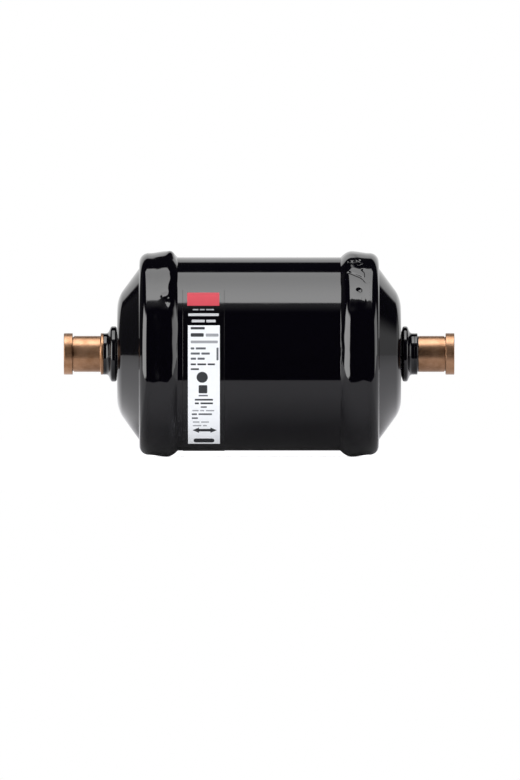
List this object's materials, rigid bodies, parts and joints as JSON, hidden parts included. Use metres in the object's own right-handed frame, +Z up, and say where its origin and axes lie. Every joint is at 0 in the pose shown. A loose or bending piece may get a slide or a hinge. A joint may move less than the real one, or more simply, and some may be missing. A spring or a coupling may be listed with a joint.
{
  "type": "filter drier",
  "caption": "Hermetic bi-flow filter drier: a welded steel canister with a copper solder socket at each end, and a solid desiccant core between sprung valve cartridges inside.",
  "frame": {"origin": "on the flow axis, midway between the two socket mouths", "axes": "+X along the flow axis from the labelled end to the plain end, -Y towards the label's front, +Z up"},
  "size_m": [0.1536, 0.0808, 0.0808],
  "materials": {
    "black_paint": "semi-gloss black powder paint on steel",
    "copper": "bright turned copper",
    "label_film": "printed film label with plain colour fields",
    "sieve_block": "moulded desiccant block, matt and grainy",
    "fibre_mat": "needled fibre sleeve",
    "plated_steel": "zinc plated pressed steel",
    "spring_steel": "drawn spring wire",
    "valve_steel": "stainless valve strip",
    "gasket_rubber": "moulded rubber"
  },
  "bodies": {
    "housing": {"shell_tube": "black_paint", "left_end_cap": "black_paint", "right_end_cap": "black_paint", "left_weld_bead": "black_paint", "right_weld_bead": "black_paint", "left_weld_neck": "black_paint", "right_weld_neck": "black_paint", "left_copper_stub": "copper", "right_copper_stub": "copper", "label": "label_film", "desiccant_core": "sieve_block", "filter_mat": "fibre_mat", "screen_tube": "plated_steel", "core_spring": "spring_steel", "left_valve_plate": "plated_steel", "right_valve_plate": "plated_steel", "left_core_seat": "plated_steel", "right_core_seat": "plated_steel", "left_core_gasket": "gasket_rubber", "right_core_gasket": "gasket_rubber", "left_outlet_cage": "plated_steel", "right_outlet_cage": "plated_steel"},
    "left_inlet_valve": {"left_inlet_ring": "valve_steel"},
    "right_inlet_valve": {"right_inlet_ring": "valve_steel"},
    "left_outlet_valve": {"left_outlet_disc": "valve_steel"},
    "right_outlet_valve": {"right_outlet_disc": "valve_steel"}
  },
  "joints": [
    {"name": "left_inlet_lift", "type": "slide", "parent": "housing", "child": "left_inlet_valve", "axis": [1, 0, 0], "range_m": [0, 0.002]},
    {"name": "right_inlet_lift", "type": "slide", "parent": "housing", "child": "right_inlet_valve", "axis": [-1, 0, 0], "range_m": [0, 0.002]},
    {"name": "left_outlet_lift", "type": "slide", "parent": "housing", "child": "left_outlet_valve", "axis": [-1, 0, 0], "range_m": [0, 0.0025]},
    {"name": "right_outlet_lift", "type": "slide", "parent": "housing", "child": "right_outlet_valve", "axis": [1, 0, 0], "range_m": [0, 0.0025]}
  ]
}
